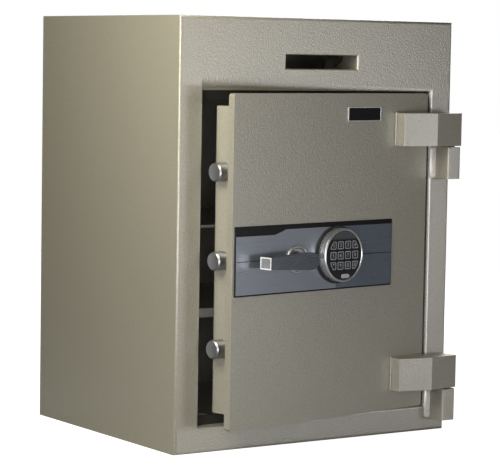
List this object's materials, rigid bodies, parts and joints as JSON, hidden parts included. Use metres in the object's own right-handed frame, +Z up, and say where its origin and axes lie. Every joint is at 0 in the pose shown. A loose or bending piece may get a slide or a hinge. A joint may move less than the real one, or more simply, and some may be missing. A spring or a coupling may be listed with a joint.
{
  "type": "deposit safe",
  "caption": "Free-standing steel deposit safe with a slot over the doorway and a hinged, bolted door with a lever, a round keypad lock and shelves inside.",
  "frame": {"origin": "middle of the underside of the safe's body", "axes": "+X to the right seen from the front, +Y back into the safe, +Z up; the door's hinges are on the +X side and its front faces -Y"},
  "size_m": [0.522, 0.5385, 0.67],
  "materials": {
    "body_paint": "fine hammertone enamel, beige grey",
    "fill": "cast cement fill",
    "inner_paint": "dark satin enamel inside",
    "bolt_steel": "turned and plated",
    "plain_steel": "zinc-plated sheet and bar",
    "washer_brass": "turned",
    "escutcheon_black": "black enamel",
    "escutcheon_metal": "blue-grey, brushed lengthways",
    "badge_metal": "polished, left bare",
    "lever_chrome": "satin chrome casting",
    "keypad_metal": "turned ring",
    "keypad_plastic": "charcoal",
    "key_plastic": "charcoal with a light raised edge",
    "led_plastic": "silver pill",
    "seal_rubber": "black seal",
    "board_green": "circuit board",
    "lock_zinc": "die cast",
    "battery_can": "plain dark can"
  },
  "bodies": {
    "safe_body": {"outer_shell": "body_paint", "rear_panel": "body_paint", "barrier_fill": "fill", "inner_liner": "inner_paint", "door_frame": "body_paint", "door_stop": "body_paint", "bolt_pocket": "inner_paint", "slot_sleeve": "body_paint", "deposit_chute": "inner_paint", "chute_baffle": "inner_paint", "upper_shelf": "inner_paint", "lower_shelf": "inner_paint", "shelf_rails": "inner_paint", "hinge_lug_lower": "body_paint", "hinge_lug_upper": "body_paint", "hinge_pins": "bolt_steel", "thrust_washers": "washer_brass"},
    "door": {"door_plate": "body_paint", "door_pan": "body_paint", "hard_plate": "plain_steel", "rear_cover": "plain_steel", "pan_screws": "plain_steel", "hinge_block_lower": "body_paint", "hinge_block_upper": "body_paint", "dead_bar": "plain_steel", "bolt_sleeves": "plain_steel", "carriage_studs": "plain_steel", "escutcheon_backing": "escutcheon_black", "escutcheon_plate": "escutcheon_metal", "badge_plate": "badge_metal", "handle_rosette": "lever_chrome", "keypad_base": "seal_rubber", "keypad_housing": "keypad_metal", "keypad_face": "keypad_plastic", "keypad_board": "board_green", "led_window": "led_plastic", "lock_case": "lock_zinc", "lock_cover": "lock_zinc", "lock_cable": "seal_rubber", "battery_box": "keypad_plastic", "battery": "battery_can"},
    "handle": {"handle_lever": "lever_chrome", "handle_spindle": "plain_steel", "drive_disc": "plain_steel", "spindle_clip": "plain_steel"},
    "boltwork": {"bolt_carriage": "plain_steel", "locking_bolts": "bolt_steel"},
    "lock_bolt": {"lock_bolt": "washer_brass"},
    "key_01": {"key_01": "key_plastic"},
    "key_02": {"key_02": "key_plastic"},
    "key_03": {"key_03": "key_plastic"},
    "key_04": {"key_04": "key_plastic"},
    "key_05": {"key_05": "key_plastic"},
    "key_06": {"key_06": "key_plastic"},
    "key_07": {"key_07": "key_plastic"},
    "key_08": {"key_08": "key_plastic"},
    "key_09": {"key_09": "key_plastic"},
    "key_10": {"key_10": "key_plastic"},
    "key_11": {"key_11": "key_plastic"},
    "key_12": {"key_12": "key_plastic"}
  },
  "joints": [
    {"name": "door_swing", "type": "hinge", "parent": "safe_body", "child": "door", "pos_m": [0.2408, -0.2363, 0], "axis": [0, 0, 1], "range_deg": [-9.1, 100.9]},
    {"name": "handle_turn", "type": "hinge", "parent": "door", "child": "handle", "pos_m": [-0.07951, -0.26806, 0.299], "axis": [0.1582, -0.9874, 0], "range_deg": [0, 90]},
    {"name": "bolt_throw", "type": "slide", "parent": "door", "child": "boltwork", "axis": [-0.9874, -0.1582, 0], "range_m": [0, 0.0201]},
    {"name": "lock_bolt_throw", "type": "slide", "parent": "door", "child": "lock_bolt", "axis": [0, 0, -1], "range_m": [0, 0.0101]},
    {"name": "key_01_press", "type": "slide", "parent": "door", "child": "key_01", "axis": [-0.1582, 0.9874, 0], "range_m": [0, 0.0009], "stiffness_N_per_m": 600},
    {"name": "key_02_press", "type": "slide", "parent": "door", "child": "key_02", "axis": [-0.1582, 0.9874, 0], "range_m": [0, 0.0009], "stiffness_N_per_m": 600},
    {"name": "key_03_press", "type": "slide", "parent": "door", "child": "key_03", "axis": [-0.1582, 0.9874, 0], "range_m": [0, 0.0009], "stiffness_N_per_m": 600},
    {"name": "key_04_press", "type": "slide", "parent": "door", "child": "key_04", "axis": [-0.1582, 0.9874, 0], "range_m": [0, 0.0009], "stiffness_N_per_m": 600},
    {"name": "key_05_press", "type": "slide", "parent": "door", "child": "key_05", "axis": [-0.1582, 0.9874, 0], "range_m": [0, 0.0009], "stiffness_N_per_m": 600},
    {"name": "key_06_press", "type": "slide", "parent": "door", "child": "key_06", "axis": [-0.1582, 0.9874, 0], "range_m": [0, 0.0009], "stiffness_N_per_m": 600},
    {"name": "key_07_press", "type": "slide", "parent": "door", "child": "key_07", "axis": [-0.1582, 0.9874, 0], "range_m": [0, 0.0009], "stiffness_N_per_m": 600},
    {"name": "key_08_press", "type": "slide", "parent": "door", "child": "key_08", "axis": [-0.1582, 0.9874, 0], "range_m": [0, 0.0009], "stiffness_N_per_m": 600},
    {"name": "key_09_press", "type": "slide", "parent": "door", "child": "key_09", "axis": [-0.1582, 0.9874, 0], "range_m": [0, 0.0009], "stiffness_N_per_m": 600},
    {"name": "key_10_press", "type": "slide", "parent": "door", "child": "key_10", "axis": [-0.1582, 0.9874, 0], "range_m": [0, 0.0009], "stiffness_N_per_m": 600},
    {"name": "key_11_press", "type": "slide", "parent": "door", "child": "key_11", "axis": [-0.1582, 0.9874, 0], "range_m": [0, 0.0009], "stiffness_N_per_m": 600},
    {"name": "key_12_press", "type": "slide", "parent": "door", "child": "key_12", "axis": [-0.1582, 0.9874, 0], "range_m": [0, 0.0009], "stiffness_N_per_m": 600}
  ],
  "couplings": [
    {"joint": "bolt_throw", "follows": "handle_turn", "m_per_rad": 0.012732},
    {"joint": "lock_bolt_throw", "follows": "handle_turn", "m_per_rad": 0.0063662}
  ]
}
